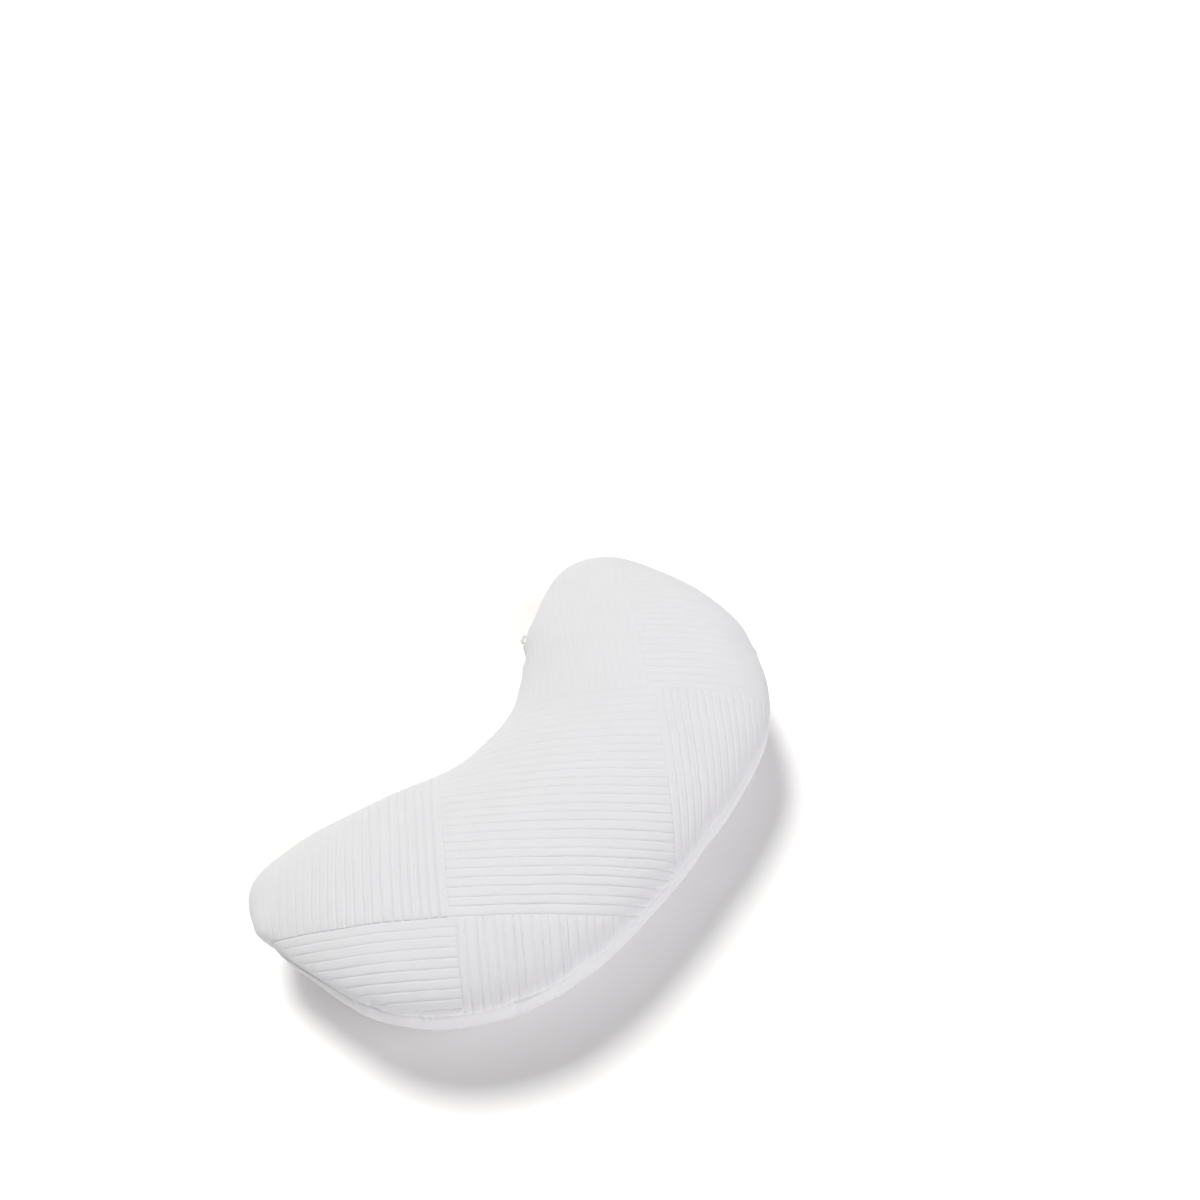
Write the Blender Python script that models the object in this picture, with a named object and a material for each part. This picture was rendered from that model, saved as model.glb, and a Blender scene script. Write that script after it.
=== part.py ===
"""Crescent body pillow: a stuffed cushion in a ribbed knit cover of two panels, with a small zip pull.

Metres, +Z up. The long side lies along X and the hollow of the crescent opens towards +Y. The pillow
lies on its back on the flat spot under it.
"""

import math

import bmesh
import bpy
import numpy as np
from mathutils import Matrix, Vector
from mathutils.bvhtree import BVHTree
from mathutils.geometry import delaunay_2d_cdt
from mathutils.kdtree import KDTree

# The stuffed body, from one tip to the other. Each row is a section across the crescent: where the seam
# is on its inner and its outer side, and how far the cloth stands above and would hang below the seam.
SECTION_COLUMNS = ("place", "inner_x", "inner_y", "outer_x", "outer_y", "crown", "belly")
SECTIONS = (
    ("blunt tip", -0.322, 0.155, -0.322, 0.155, 0.000, 0.000),
    ("blunt end", -0.240, 0.164, -0.337, 0.046, 0.039, 0.049),
    ("first arm, out", -0.192, 0.148, -0.308, -0.067, 0.060, 0.072),
    ("first arm, in", -0.125, 0.122, -0.225, -0.147, 0.070, 0.082),
    ("before the bend", -0.061, 0.093, -0.118, -0.184, 0.071, 0.082),
    ("bend", -0.005, 0.088, 0.016, -0.189, 0.072, 0.082),
    ("after the bend", 0.057, 0.098, 0.133, -0.180, 0.073, 0.083),
    ("second arm, in", 0.121, 0.139, 0.242, -0.147, 0.077, 0.088),
    ("second arm, out", 0.174, 0.167, 0.323, -0.053, 0.068, 0.078),
    ("wide end", 0.247, 0.190, 0.336, 0.064, 0.042, 0.050),
    ("wide tip", 0.302, 0.155, 0.302, 0.155, 0.000, 0.000),
)
SEAM_HEIGHT = 0.076
CREST_SHIFT = -0.093  # the crest lies nearer the inner side, as a share of the half width
SECTION_ROUNDNESS = (2.02, 2.23)  # powers of the section's outline, across and up
SEAM_LIP_TOP = 0.0025  # how far the cloth swells past the seam above it
SEAM_LIP_UNDER = 0.0065  # and below it

# Small tucks where the seam is gathered: the place along the seam in sections, the depth, and the half
# width along the seam.
TUCK_COLUMNS = ("place", "station", "depth", "reach")
TUCKS = (
    ("below the zip pull", 6.90, 0.0035, 0.16),
    ("above the zip pull", 7.85, 0.0020, 0.14),
    ("outer bulge", 11.90, -0.0030, 0.20),
    ("outer side, bend", 14.60, 0.0025, 0.14),
    ("outer side, first arm", 16.30, 0.0030, 0.14),
    ("blunt corner", 19.10, -0.0030, 0.22),
)
TUCK_SPREAD = 0.35  # how far up the section a tuck reaches, as a share of the way to the crest

# Raised ribs of the cover, a basket pattern of blocks. The middle block and every second one from it
# have level ribs, and the blocks between have upright ribs. Lines of the pattern are measured on the
# flat cloth, first across the upright ribs and then across the level ones.
RIBS_IN_BLOCK = 26
LEVEL_PITCH = 0.0104
UPRIGHT_PITCH = 0.0099
LEVEL_ANGLE = math.radians(42.5)  # the way across the level ribs, from +X
UPRIGHT_ANGLE = math.radians(-43.0)  # the way across the upright ribs
BLOCK_CORNER = (-0.121, -0.190)  # lowest corner of the middle block on the top panel
UNDER_CORNER = (-0.060, -0.140)  # the same on the under panel
ROW_SHIFT = 0.007  # each row of blocks starts this much further along than the row above it
BLOCK_ROWS = range(-2, 3)  # rows below and above the middle block that reach the panel's edge
BLOCK_PLACES = range(-3, 4)
RIB_RISE = 0.0014
RIB_GAP = 0.0015  # ribs stop this far short of their block's end
SEAM_MARGIN = 0.0050  # and this far short of the seam
RIB_FADE_HEIGHT = 0.010  # ribs under the pillow flatten out below this height

# How finely the surface is cut up.
SEAM_POINTS = 168
SEAM_SAMPLES = 4001  # for measuring along the seam
FLAT_SPOT_POINTS = 60
GRID_STATIONS = 181
GRID_ANGLES = 121
TIP_GAP = 0.001  # the grid starts this share of a section from each tip, where a section has no width
SAMPLE_STEP = 0.0025
FEWEST_SAMPLES = 3  # a shorter stretch of a rib line is left out
CURVE_TOLERANCE = 0.0006
LONGEST_SPAN = 0.050
MERGE_DISTANCE = 1e-7

# Zip pull on the inner seam, a slider with its tab.
ZIP_STATION = 7.5
SLIDER = (0.0080, 0.0040, 0.0060)  # along the seam, out from it, up
TAB = (0.0045, 0.0065, 0.0014)
TAB_DROOP = math.radians(20)
SOFT_EDGE = 0.3  # bevel of both, as a share of the smallest size
TANGENT_STEP = 0.02  # sections either side, for the seam's direction
CLEARANCE = 0.0003

COVER_COLOUR = (0.80, 0.79, 0.77, 1.0)
ZIP_COLOUR = (0.72, 0.72, 0.71, 1.0)

STATIONS = len(SECTIONS) - 1
RING = 2 * STATIONS


def column(table, columns, name):
    return np.array([row[columns.index(name)] for row in table])


def section_column(name):
    return column(SECTIONS, SECTION_COLUMNS, name)


def closed_spline(values):
    """A smooth closed curve through the values, one a whole step apart."""
    values = np.asarray(values, float).reshape(len(values), -1)
    count = len(values)
    system = 4 * np.eye(count) + np.roll(np.eye(count), 1, 0) + np.roll(np.eye(count), -1, 0)
    slopes = np.linalg.solve(system, 3 * (np.roll(values, -1, 0) - np.roll(values, 1, 0)))

    def curve(place):
        place = np.asarray(place, float) % count
        first = np.floor(place).astype(int) % count
        second = (first + 1) % count
        s = (place - np.floor(place))[..., None]
        return (
            (2 * s**3 - 3 * s**2 + 1) * values[first]
            + (s**3 - 2 * s**2 + s) * slopes[first]
            + (3 * s**2 - 2 * s**3) * values[second]
            + (s**3 - s**2) * slopes[second]
        )

    return curve


def there_and_back(name, sign):
    """A section value on the way out along the inner side and back along the outer side."""
    out = section_column(name)
    return np.concatenate([out, sign * out[-2:0:-1]])


def seam_ring():
    inner = np.stack([section_column("inner_x"), section_column("inner_y")], -1)
    outer = np.stack([section_column("outer_x"), section_column("outer_y")], -1)
    return np.concatenate([inner, outer[-2:0:-1]])


SEAM = closed_spline(seam_ring())
CROWN = closed_spline(there_and_back("crown", -1))
BELLY = closed_spline(there_and_back("belly", -1))


def seam_tuck(place):
    """How far the seam is pulled in at a place along it, from its tucks."""
    pulled = np.zeros(np.shape(place))
    stations, depths, reaches = (column(TUCKS, TUCK_COLUMNS, name) for name in TUCK_COLUMNS[1:])
    for station, depth, reach in zip(stations, depths, reaches):
        away = (np.asarray(place) - station + RING / 2) % RING - RING / 2
        pulled = pulled + depth * np.exp(-((away / reach) ** 2))
    return pulled


def section_frame(station):
    """Middle of a section, its half vector towards the outer side, and its half width."""
    inner = SEAM(station)
    outer = SEAM(RING - np.asarray(station))
    half = (outer - inner) / 2
    return (inner + outer) / 2, half, np.linalg.norm(half, axis=-1)


WIDEST = float(section_frame(np.linspace(0, STATIONS, 201))[2].max())


def panel_point(top, station, angle):
    """A point of the smooth top or under panel: angle 0 is the outer seam, pi is the inner seam."""
    middle, half, width = section_frame(station)
    share = width / WIDEST
    across = np.cos(angle)
    side = np.sign(across)
    power, lift = SECTION_ROUNDNESS
    shift = CREST_SHIFT if top else 0.0
    moved = across - shift * (1 - across**2)
    rise = (1 - np.abs(moved) ** power).clip(0) ** (1 / lift)
    lip = (SEAM_LIP_TOP if top else SEAM_LIP_UNDER) * share
    outward = lip * np.abs(np.sin(2 * angle))
    near_seam = np.exp(-((np.sin(angle) / TUCK_SPREAD) ** 2))
    place = np.where(across > 0, RING - np.asarray(station), station)
    outward = outward - seam_tuck(place) * near_seam
    flat = middle + half * across[..., None] + (half / width[..., None]) * (side * outward)[..., None]
    if top:
        height = SEAM_HEIGHT + CROWN(station)[..., 0] * rise
    else:
        height = (SEAM_HEIGHT - BELLY(station)[..., 0] * rise).clip(0)
    return np.concatenate([flat, height[..., None]], -1)


def grid_stations():
    """Stations of the grid, closer together towards the tips."""
    share = (1 - np.cos(np.linspace(0, math.pi, GRID_STATIONS))) / 2
    return TIP_GAP + (STATIONS - 2 * TIP_GAP) * share


def crest_on_cloth(crest_line):
    """The crest line laid flat: each step keeps its length and its direction from above."""
    step = np.diff(crest_line, axis=0)
    seen = step[:, :2]
    flat = seen * (np.linalg.norm(step, axis=-1) / np.linalg.norm(seen, axis=-1))[:, None]
    laid = np.concatenate([[[0.0, 0.0]], np.cumsum(flat, axis=0)])
    half_way = GRID_STATIONS // 2
    return laid + crest_line[half_way, :2] - laid[half_way]


def panel_grid(top):
    """The panel as a grid of sections, with the place of each point on the flat cut cloth."""
    station, angle = np.meshgrid(grid_stations(), np.linspace(0, math.pi, GRID_ANGLES), indexing="ij")
    point = panel_point(top, station, angle)
    step = np.linalg.norm(np.diff(point, axis=1), axis=-1)
    length = np.concatenate([np.zeros((GRID_STATIONS, 1)), np.cumsum(step, axis=1)], axis=1)
    crest = math.acos(CREST_SHIFT) if top else math.pi / 2
    _, half, width = section_frame(station[:, 0])
    outward = half / width[:, None]
    crest_length = np.array([np.interp(crest, angle[0], row) for row in length])
    reach = crest_length[:, None] - length
    spine = crest_on_cloth(panel_point(top, station[:, 0], np.full(GRID_STATIONS, crest)))
    cloth = spine[:, None] + reach[..., None] * outward[:, None]
    along = np.gradient(point, axis=0)
    around = np.gradient(point, axis=1)
    normal = np.cross(along, around)
    normal /= np.linalg.norm(normal, axis=-1, keepdims=True).clip(1e-12)
    if (normal[GRID_STATIONS // 2, GRID_ANGLES // 2, 2] > 0) != top:
        normal = -normal
    return {"point": point, "cloth": cloth, "normal": normal}


def grid_tree(grid):
    cloth = grid["cloth"].reshape(-1, 2)
    tree = KDTree(len(cloth))
    for index, (x, y) in enumerate(cloth):
        tree.insert((x, y, 0), index)
    tree.balance()
    return tree


def lift(grid, tree, cloth_points):
    """The points of the smooth panel, and the normals there, of points on the flat cloth."""
    places = []
    normals = []
    for x, y in cloth_points:
        _, index, _ = tree.find((x, y, 0))
        i, j = divmod(index, GRID_ANGLES)
        i = min(max(i, 1), GRID_STATIONS - 2)
        j = min(max(j, 1), GRID_ANGLES - 2)
        cloth = grid["cloth"]
        along = (cloth[i + 1, j] - cloth[i - 1, j]) / 2
        around = (cloth[i, j + 1] - cloth[i, j - 1]) / 2
        share = np.linalg.solve(np.stack([along, around], -1), np.array([x, y]) - cloth[i, j])
        share = share.clip(-1.5, 1.5)
        for name, found in (("point", places), ("normal", normals)):
            field = grid[name]
            slope = (field[i + 1, j] - field[i - 1, j]) / 2, (field[i, j + 1] - field[i, j - 1]) / 2
            found.append(field[i, j] + share[0] * slope[0] + share[1] * slope[1])
    places = np.array(places)
    normals = np.array(normals)
    return places, normals / np.linalg.norm(normals, axis=-1, keepdims=True)


def seam_places():
    """Places along the seam, evenly spaced by length, the same for both panels."""
    fine = np.linspace(0, RING, SEAM_SAMPLES)
    step = np.linalg.norm(np.diff(SEAM(fine), axis=0), axis=-1)
    length = np.concatenate([[0], np.cumsum(step)])
    return np.interp(np.arange(SEAM_POINTS) * length[-1] / SEAM_POINTS, length, fine)


def seam_on_cloth(grid, places):
    """Where the seam's places lie on the flat cloth of a panel."""
    station = grid_stations()
    inner = grid["cloth"][:, -1]
    outer = grid["cloth"][:, 0]
    found = []
    for place in places:
        edge = inner if place <= STATIONS else outer
        at = place if place <= STATIONS else RING - place
        found.append([np.interp(at, station, edge[:, axis]) for axis in (0, 1)])
    return np.array(found)


def inside(outline, points):
    """Which points lie inside a closed outline."""
    x, y = points[:, 0], points[:, 1]
    odd = np.zeros(len(points), bool)
    ends = np.roll(outline, -1, 0)
    for (x0, y0), (x1, y1) in zip(outline, ends):
        crosses = (y0 > y) != (y1 > y)
        with np.errstate(divide="ignore", invalid="ignore"):
            odd ^= crosses & (x < (x1 - x0) * (y - y0) / (y1 - y0) + x0)
    return odd


def outline_distance(outline, points):
    """Distance from each point to a closed outline."""
    nearest = np.full(len(points), np.inf)
    ends = np.roll(outline, -1, 0)
    for start, end in zip(outline, ends):
        edge = end - start
        share = ((points - start) @ edge / (edge @ edge)).clip(0, 1)
        away = np.linalg.norm(points - start - share[:, None] * edge, axis=-1)
        nearest = np.minimum(nearest, away)
    return nearest


def kept_points(curve):
    """The points of a sampled curve that it needs, so that no span leaves it by more than the tolerance."""
    keep = [0]
    start = 0
    while start < len(curve) - 1:
        end = start + 1
        while end + 1 < len(curve):
            chord = curve[end + 1] - curve[start]
            size = np.linalg.norm(chord)
            between = curve[start + 1 : end + 1] - curve[start]
            away = np.linalg.norm(between - np.outer(between @ chord / size**2, chord), axis=-1)
            if size > LONGEST_SPAN or away.max() > CURVE_TOLERANCE:
                break
            end += 1
        keep.append(end)
        start = end
    return keep


def rib_lines(corner):
    """Every groove and crest line of the pattern, as two ends on the cloth and a height from 0 to 1."""
    across_ribs = np.array([[math.cos(angle), math.sin(angle)] for angle in (UPRIGHT_ANGLE, LEVEL_ANGLE)])
    to_cloth = np.linalg.inv(across_ribs)
    wide = RIBS_IN_BLOCK * UPRIGHT_PITCH
    tall = RIBS_IN_BLOCK * LEVEL_PITCH
    lines = []
    for row in BLOCK_ROWS:
        low = corner[1] - row * tall
        for place in BLOCK_PLACES:
            left = corner[0] + row * ROW_SHIFT + place * wide
            level = (row + place) % 2 == 0
            for step in range(2 * RIBS_IN_BLOCK + 1):
                if level:
                    across = low + step * LEVEL_PITCH / 2
                    ends = (left + RIB_GAP, across), (left + wide - RIB_GAP, across)
                else:
                    across = left + step * UPRIGHT_PITCH / 2
                    ends = (across, low + RIB_GAP), (across, low + tall - RIB_GAP)
                lines.append((to_cloth @ ends[0], to_cloth @ ends[1], step % 2))
    return lines


def under_flat(grid):
    """Outline on the cloth of the flat spot that the pillow rests on."""
    flat = grid["point"][..., 2] <= 0
    rows = [i for i in range(GRID_STATIONS) if flat[i].sum() > 2]
    first = [grid["cloth"][i, np.flatnonzero(flat[i])[0]] for i in rows]
    last = [grid["cloth"][i, np.flatnonzero(flat[i])[-1]] for i in rows]
    outline = np.array(first + last[::-1])
    spacing = np.linalg.norm(np.diff(outline, axis=0, append=outline[:1]), axis=-1)
    length = np.concatenate([[0], np.cumsum(spacing)])
    even = np.linspace(0, length[-1], FLAT_SPOT_POINTS, endpoint=False)
    closed = np.concatenate([outline, outline[:1]])
    return np.stack([np.interp(even, length, closed[:, axis]) for axis in (0, 1)], -1)


def clear_runs(begin, finish, rim, hole):
    """The stretches of a rib line that keep clear of the seam and the flat spot, as samples."""
    count = max(int(np.linalg.norm(finish - begin) / SAMPLE_STEP), 2)
    samples = begin + np.linspace(0, 1, count)[:, None] * (finish - begin)
    clear = inside(rim, samples)
    if not clear.any():
        return []
    clear &= outline_distance(rim, samples) > SEAM_MARGIN
    if len(hole):
        clear &= ~inside(hole, samples)
        clear &= outline_distance(hole, samples) > SEAM_MARGIN
    marks = np.flatnonzero(np.diff(np.concatenate([[0], clear.astype(int), [0]])))
    runs = [samples[start:end] for start, end in marks.reshape(-1, 2)]
    return [run for run in runs if len(run) >= FEWEST_SAMPLES]


def panel_mesh(top, places):
    """Points above or below the seam, and triangles that number the seam's points first."""
    grid = panel_grid(top)
    tree = grid_tree(grid)
    rim = seam_on_cloth(grid, places)
    hole = np.empty((0, 2)) if top else under_flat(grid)
    cloth_points = []
    middle_height = 0.5
    heights = []
    edges = []
    for outline in (rim, hole):
        start = len(cloth_points)
        cloth_points += list(outline)
        heights += [middle_height] * len(outline)
        edges += [(start + i, start + (i + 1) % len(outline)) for i in range(len(outline))]
    for begin, finish, height in rib_lines(BLOCK_CORNER if top else UNDER_CORNER):
        for run in clear_runs(begin, finish, rim, hole):
            lifted, _ = lift(grid, tree, run)
            kept = run[kept_points(lifted)]
            start = len(cloth_points)
            cloth_points += list(kept)
            heights += [height] * len(kept)
            edges += [(start + i, start + i + 1) for i in range(len(kept) - 1)]
    filled = [list(range(len(rim)))]
    _, _, faces, sources, _, _ = delaunay_2d_cdt(
        [Vector(point) for point in cloth_points], edges, filled, 1, MERGE_DISTANCE
    )
    if any(len(source) != 1 for source in sources):
        raise ValueError("rib lines of the cover cross each other")
    lifted, normals = lift(grid, tree, cloth_points[len(rim) :])
    fade = 1.0 if top else (lifted[:, 2] / RIB_FADE_HEIGHT).clip(0, 1)
    ribs = np.array(heights[len(rim) :])
    lifted = lifted + normals * ((ribs - middle_height) * RIB_RISE * fade)[:, None]
    lifted[: len(hole), 2] = 0.0
    lifted[:, 2] = lifted[:, 2].clip(0)
    order = [source[0] for source in sources]
    triangles = [[order[corner] for corner in face] for face in faces]
    return lifted, triangles


def material(name, colour, roughness, metallic=0.0):
    made = bpy.data.materials.new(name)
    made.use_nodes = True
    shader = made.node_tree.nodes["Principled BSDF"]
    shader.inputs["Base Color"].default_value = colour
    shader.inputs["Roughness"].default_value = roughness
    shader.inputs["Metallic"].default_value = metallic
    return made


def add_object(name, mesh, collection, finish):
    made = bpy.data.objects.new(name, mesh)
    mesh.materials.append(finish)
    collection.objects.link(made)
    return made


def make_pillow(collection):
    """The stuffed cover: two ribbed panels that share the seam."""
    places = seam_places()
    inner = places <= STATIONS
    station = np.where(inner, places, RING - places).clip(TIP_GAP, STATIONS - TIP_GAP)
    angle = np.where(inner, math.pi, 0.0)
    rim = panel_point(True, station, angle)
    points = list(rim)
    triangles = []
    for top in (True, False):
        raised, faces = panel_mesh(top, places)
        offset = len(points) - len(rim)
        points += list(raised)
        for face in faces:
            numbers = [corner if corner < len(rim) else corner + offset for corner in face]
            triangles.append(numbers if top else numbers[::-1])
    points = np.array(points)
    middle = (points.min(axis=0) + points.max(axis=0)) / 2
    points[:, :2] -= middle[:2]
    mesh = bpy.data.meshes.new("pillow")
    mesh.from_pydata([tuple(point) for point in points], [], triangles)
    work = bmesh.new()
    work.from_mesh(mesh)
    bmesh.ops.recalc_face_normals(work, faces=work.faces)
    work.to_mesh(mesh)
    work.free()
    mesh.shade_smooth()
    add_object("pillow", mesh, collection, material("ribbed knit", COVER_COLOUR, 0.9))
    return mesh, middle


def zip_piece(size, matrix):
    """A small block with softened edges."""
    work = bmesh.new()
    bmesh.ops.create_cube(work, size=1.0, matrix=matrix @ Matrix.Diagonal((*size, 1.0)))
    soft = SOFT_EDGE * min(size)
    bmesh.ops.bevel(work, geom=work.edges[:], offset=soft, segments=2, affect="EDGES", profile=0.5)
    return work


def seam_axes(station):
    """Directions along the inner seam, out from it and up, as the axes of a matrix."""
    ahead = SEAM(station + TANGENT_STEP) - SEAM(station - TANGENT_STEP)
    along = Vector((*ahead, 0.0)).normalized()
    outward = Vector((0.0, 0.0, 1.0)).cross(along)
    if outward.dot(Vector((*section_frame(station)[1], 0.0))) > 0:
        outward = -outward
        along = -along
    return Matrix((along, outward, along.cross(outward))).transposed().to_4x4()


def make_zip_pull(collection, pillow, middle):
    """Slider and tab of the zip, seated against the cloth where the inner seam is gathered."""
    at = SEAM(ZIP_STATION) - middle[:2]
    base = Matrix.Translation((*at, SEAM_HEIGHT)) @ seam_axes(ZIP_STATION)
    outward = base.to_3x3() @ Vector((0.0, 1.0, 0.0))
    slider = zip_piece(SLIDER, Matrix.Translation((0.0, SLIDER[1] / 2, 0.0)))
    hinge = Matrix.Translation((0.0, SLIDER[1] + CLEARANCE, -TAB[2] / 2))
    hinge = hinge @ Matrix.Rotation(-TAB_DROOP, 4, "X")
    tab = zip_piece(TAB, hinge @ Matrix.Translation((0.0, TAB[1] / 2, TAB[2] / 2)))
    corners = [vert.co for vert in pillow.vertices]
    cloth = BVHTree.FromPolygons(corners, [face.vertices for face in pillow.polygons])
    far = 10 * SLIDER[1]
    hits = [cloth.ray_cast(base @ vert.co + far * outward, -outward)[3] for vert in slider.verts]
    seat = far - min(hit for hit in hits if hit is not None) + CLEARANCE
    finish = material("coated metal", ZIP_COLOUR, 0.45)
    for name, work in (("zip_slider", slider), ("zip_tab", tab)):
        bmesh.ops.transform(work, matrix=base @ Matrix.Translation((0.0, seat, 0.0)), verts=work.verts)
        mesh = bpy.data.meshes.new(name)
        work.to_mesh(mesh)
        work.free()
        add_object(name, mesh, collection, finish)


def main():
    for existing in list(bpy.data.objects):
        bpy.data.objects.remove(existing, do_unlink=True)
    collection = bpy.data.collections.new("body pillow")
    bpy.context.scene.collection.children.link(collection)
    pillow, middle = make_pillow(collection)
    make_zip_pull(collection, pillow, middle)


main()
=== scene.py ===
import math

import bmesh
import bpy
import numpy as np
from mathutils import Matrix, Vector, noise
from mathutils.bvhtree import BVHTree
from mathutils.geometry import delaunay_2d_cdt


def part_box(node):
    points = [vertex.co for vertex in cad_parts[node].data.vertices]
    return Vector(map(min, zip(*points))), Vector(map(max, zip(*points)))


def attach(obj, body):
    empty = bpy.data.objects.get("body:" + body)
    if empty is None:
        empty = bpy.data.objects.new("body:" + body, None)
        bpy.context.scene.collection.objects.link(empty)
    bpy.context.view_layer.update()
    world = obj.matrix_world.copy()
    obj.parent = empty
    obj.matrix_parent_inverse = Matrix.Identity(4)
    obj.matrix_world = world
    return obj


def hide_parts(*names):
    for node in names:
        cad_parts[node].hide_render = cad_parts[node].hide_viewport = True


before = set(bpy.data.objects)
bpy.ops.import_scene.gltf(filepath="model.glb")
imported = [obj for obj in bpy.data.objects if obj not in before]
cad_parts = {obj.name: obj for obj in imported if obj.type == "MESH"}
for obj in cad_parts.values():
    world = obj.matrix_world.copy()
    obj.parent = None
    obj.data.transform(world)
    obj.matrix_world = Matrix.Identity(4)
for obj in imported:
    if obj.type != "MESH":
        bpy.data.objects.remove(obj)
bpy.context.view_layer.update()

# The looks of the crescent body pillow: a ribbed knit cover, sewn from a top and an under panel, laid over
# a stuffed form, with its zip pull, on a white studio floor.

print("frame loaded")

# camera
photoCamera = {
    "place": (-0.5953, -0.5663, 1.4411),
    "headingX": 0.77516,  # level direction of view
    "headingY": 0.63176,
    "downTilt": 51.16,  # degrees below level
    "lens": 40.40,
    "sensor": 36.0,
    "clip": (0.05, 50.0),
}


def placeCamera():
    look = photoCamera
    tilt = math.radians(look["downTilt"])
    view = Vector((look["headingX"] * math.cos(tilt), look["headingY"] * math.cos(tilt), -math.sin(tilt)))
    bpy.ops.object.camera_add(location=look["place"], rotation=view.to_track_quat("-Z", "Y").to_euler())
    camera = bpy.context.object
    camera.data.lens = look["lens"]
    camera.data.sensor_width = look["sensor"]
    camera.data.clip_start, camera.data.clip_end = look["clip"]
    bpy.context.scene.camera = camera


placeCamera()
print("camera placed")

# stuffed form
stuffedForm = {
    "weld": 0.00002,  # points of the solid closer than this are merged
    "voxel": 0.005,
    "smoothRounds": 4,
    "startSmaller": 0.003,
    "pressure": 4.0,
    "lastFrame": 20,
    "mostMove": 0.006,
    "evenRounds": 4,  # how widely the last fit to the solid's size is evened out
    "fits": 2,  # how many times the form is fitted to the solid's size
    "restHeight": 0.0006,  # the cloth's own thickness under the pillow
    # where the stuffing is fuller or slacker than the solid: x, y, z, how much and how far round
    "fuller": (
        (0.300, 0.142, 0.106, 0.0056, 0.045),
        (0.158, 0.157, 0.088, 0.0028, 0.030),
        (0.296, -0.079, 0.108, -0.0036, 0.024),
        (0.215, -0.160, 0.060, 0.0026, 0.050),
        (0.110, -0.181, 0.054, 0.0030, 0.055),
        (0.010, -0.187, 0.053, 0.0030, 0.055),
        (-0.080, -0.186, 0.054, 0.0026, 0.050),
        (-0.155, -0.171, 0.050, 0.0030, 0.045),
        (-0.225, -0.141, 0.050, 0.0026, 0.045),
        (-0.285, -0.093, 0.053, 0.0018, 0.040),
        (-0.324, -0.028, 0.057, 0.0024, 0.030),
        (-0.333, 0.051, 0.052, -0.0022, 0.022),
        (-0.337, 0.119, 0.082, 0.0042, 0.018),
        (-0.297, 0.163, 0.086, 0.0026, 0.026),
    ),
}


def makeActive(piece):
    bpy.ops.object.select_all(action="DESELECT")
    piece.select_set(True)
    bpy.context.view_layer.objects.active = piece


def applyModifier(piece, kind, **settings):
    modifier = piece.modifiers.new(kind.lower(), kind)
    for name, value in settings.items():
        setattr(modifier, name, value)
    makeActive(piece)
    bpy.ops.object.modifier_apply(modifier=modifier.name)


def meshPoints(mesh):
    points = np.empty(len(mesh.vertices) * 3, np.float32)
    mesh.vertices.foreach_get("co", points)
    return points.reshape(-1, 3).astype(float)


def meshNormals(mesh):
    normals = np.empty(len(mesh.vertices) * 3, np.float32)
    mesh.vertex_normals.foreach_get("vector", normals)
    return normals.reshape(-1, 3).astype(float)


def setMeshPoints(mesh, points):
    mesh.vertices.foreach_set("co", np.asarray(points, np.float32).ravel())
    mesh.update()


def inflate(form, look):
    # pressure from the stuffing; how far each point may move is capped
    start = meshPoints(form.data)
    cloth = form.modifiers.new("stuffing", "CLOTH")
    cloth.settings.use_pressure = True
    cloth.settings.uniform_pressure_force = look["pressure"]
    cloth.settings.effector_weights.gravity = 0.0
    for number in range(1, look["lastFrame"] + 1):
        bpy.context.scene.frame_set(number)
    makeActive(form)
    bpy.ops.object.modifier_apply(modifier=cloth.name)
    bpy.context.scene.frame_set(1)
    move = meshPoints(form.data) - start
    length = np.linalg.norm(move, axis=1, keepdims=True).clip(1e-9)
    print("stuffing moved the cloth by", np.round(np.percentile(length, [5, 50, 95]) * 1000, 1), "mm")
    setMeshPoints(form.data, start + move * np.minimum(1.0, look["mostMove"] / length))


def fillToSize(form, look):
    # the form comes out to the solid's size, evened out so that the solid's ribs don't print through
    mesh = form.data
    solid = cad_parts["pillow"].data
    tree = BVHTree.FromPolygons([v.co for v in solid.vertices], [list(p.vertices) for p in solid.polygons])
    points, normals = meshPoints(mesh), meshNormals(mesh)
    nearest = np.array([tree.find_nearest(Vector(point))[0] for point in points])
    gap = ((nearest - points) * normals).sum(1)
    ends = np.empty(len(mesh.edges) * 2, np.int32)
    mesh.edges.foreach_get("vertices", ends)
    first, second = ends.reshape(-1, 2).T
    count = len(points)
    neighbours = np.bincount(first, minlength=count) + np.bincount(second, minlength=count)
    for _ in range(look["evenRounds"]):
        gap = (np.bincount(first, gap[second], count) + np.bincount(second, gap[first], count)) / neighbours
    setMeshPoints(mesh, points + normals * gap[:, None])


def makeStuffedForm():
    look = stuffedForm
    form = bpy.data.objects.new("stuffedForm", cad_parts["pillow"].data.copy())
    bpy.context.scene.collection.objects.link(form)
    makeActive(form)
    bpy.ops.object.mode_set(mode="EDIT")
    bpy.ops.mesh.select_all(action="SELECT")
    bpy.ops.mesh.remove_doubles(threshold=look["weld"])
    bpy.ops.object.mode_set(mode="OBJECT")
    applyModifier(form, "REMESH", mode="VOXEL", voxel_size=look["voxel"])
    applyModifier(form, "SMOOTH", factor=0.5, iterations=look["smoothRounds"])
    applyModifier(form, "DISPLACE", strength=-look["startSmaller"], mid_level=0.0)
    inflate(form, look)
    for _ in range(look["fits"]):
        fillToSize(form, look)
    applyModifier(form, "SUBSURF", levels=1, render_levels=1)
    points = meshPoints(form.data)
    push = np.zeros(len(points))
    for x, y, z, most, reach in look["fuller"]:
        push += most * np.exp(-((points - (x, y, z)) ** 2).sum(1) / reach**2)
    points += meshNormals(form.data) * push[:, None]
    points[:, 2] = points[:, 2].clip(look["restHeight"])
    setMeshPoints(form.data, points)
    return form


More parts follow.
